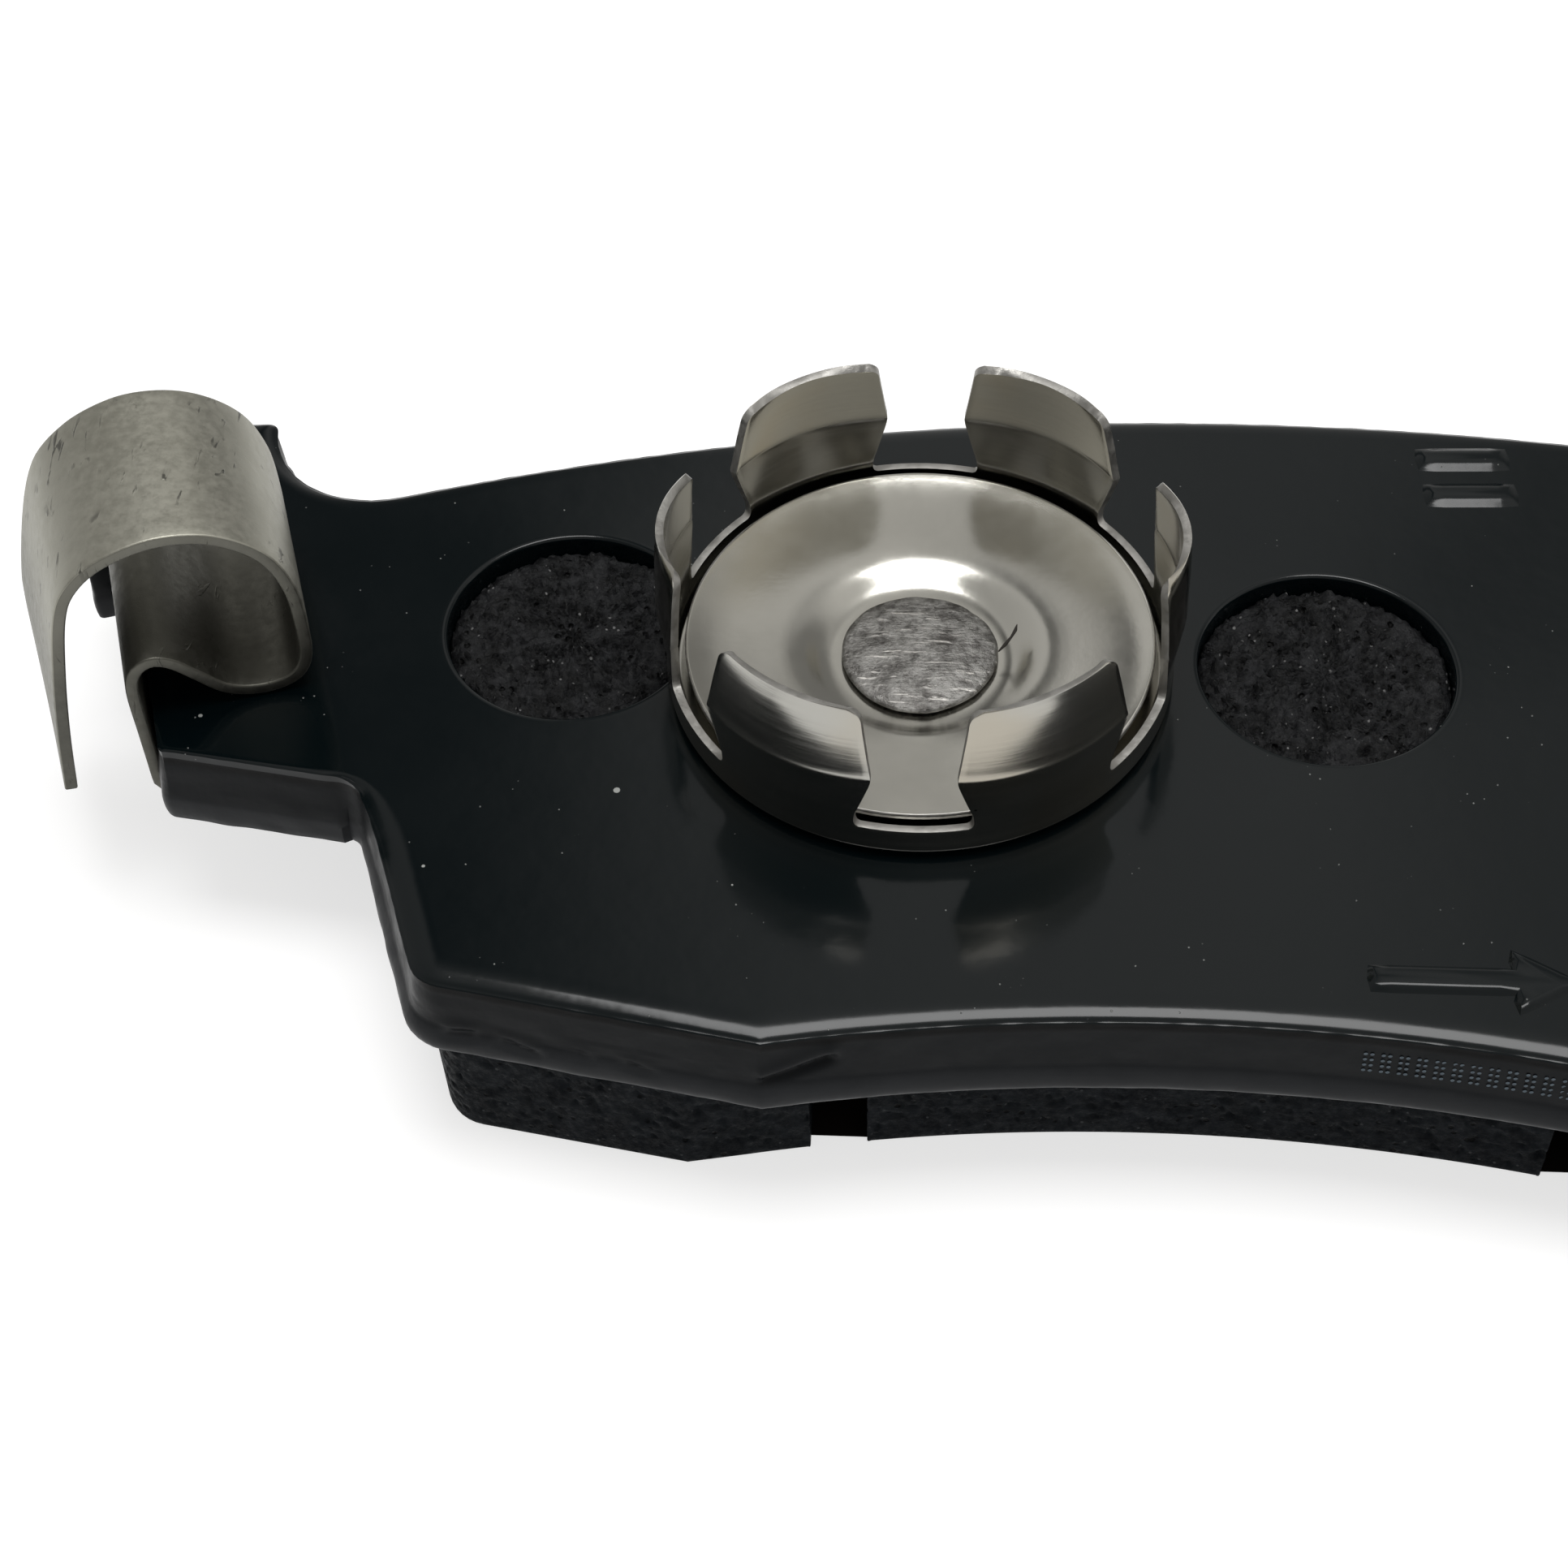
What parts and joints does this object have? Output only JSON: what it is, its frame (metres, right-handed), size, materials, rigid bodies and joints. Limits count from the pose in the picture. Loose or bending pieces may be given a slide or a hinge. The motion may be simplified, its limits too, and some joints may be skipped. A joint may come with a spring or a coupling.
{
  "type": "brake pad",
  "caption": "Disc brake pad with a stamped steel backing plate, slotted friction blocks, a riveted crown clip for the caliper piston and strip springs on its ears.",
  "frame": {"origin": "middle of the rotor face, on the centre friction block", "axes": "+Z from the rotor face towards the caliper piston, +X along the pad's length, +Y outwards from the axle"},
  "size_m": [0.1516, 0.0549, 0.0304],
  "materials": {
    "black_paint": "glossy powder coat over stamped steel",
    "bonding_layer": "rough moulded compound",
    "friction_compound": "rough moulded compound with pits",
    "polished_stainless": "polished pressed sheet",
    "satin_stainless": "satin pressed sheet",
    "rivet_steel": "rough tumbled steel with scratches",
    "spring_steel": "dull scratched strip"
  },
  "bodies": {
    "pad": {"backing_plate": "black_paint", "underlayer": "bonding_layer", "friction_block_left": "friction_compound", "friction_block_centre": "friction_compound", "friction_block_right": "friction_compound", "piston_clip_disc": "satin_stainless", "clip_rivet": "rivet_steel", "ear_spring_left": "spring_steel", "ear_spring_right": "spring_steel"},
    "crown": {"piston_clip_crown": "polished_stainless"}
  },
  "joints": [
    {"name": "crown_turn", "type": "hinge", "parent": "pad", "child": "crown", "pos_m": [-0.018, 0.0015, 0.0158], "axis": [0, 0, 1], "continuous": true}
  ]
}
